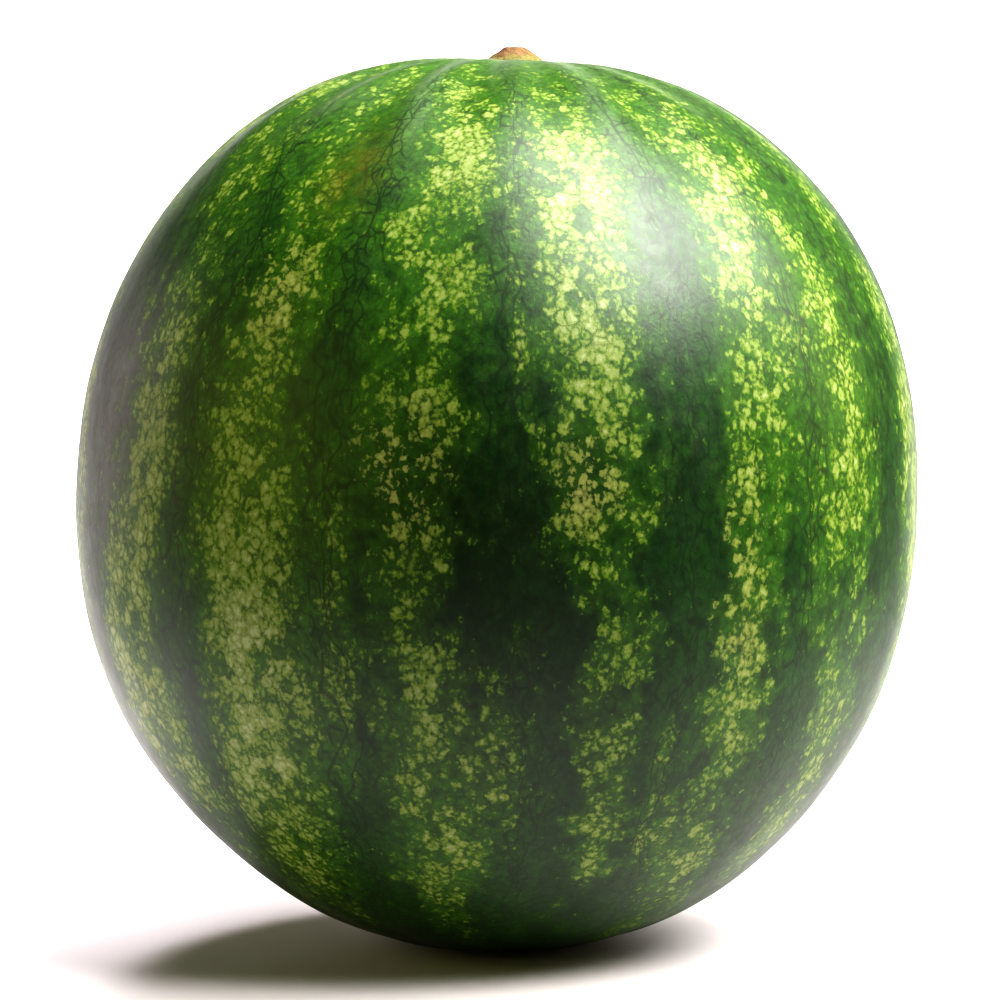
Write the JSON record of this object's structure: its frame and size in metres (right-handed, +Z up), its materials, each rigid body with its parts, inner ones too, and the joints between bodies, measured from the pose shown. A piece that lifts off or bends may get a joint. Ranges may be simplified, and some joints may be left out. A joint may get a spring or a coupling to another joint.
{
  "type": "watermelon",
  "caption": "Whole round watermelon with a striped dark green rind, a short corky stem stub on top and a small flat spot to stand on.",
  "frame": {"origin": "centre of the small flat spot under the blossom end, on the surface that the fruit stands on", "axes": "+Z up from the blossom end to the stem end, -Y towards the side that faces the viewer, +X to the viewer's right"},
  "size_m": [0.2496, 0.25, 0.2666],
  "materials": {
    "rind": "smooth waxy rind, mottled pale and dark green stripes",
    "stem_cork": "dry corky stub, tan and yellow-green"
  },
  "bodies": {
    "root": {"fruit": "rind", "stem_stub": "stem_cork"}
  },
  "joints": []
}
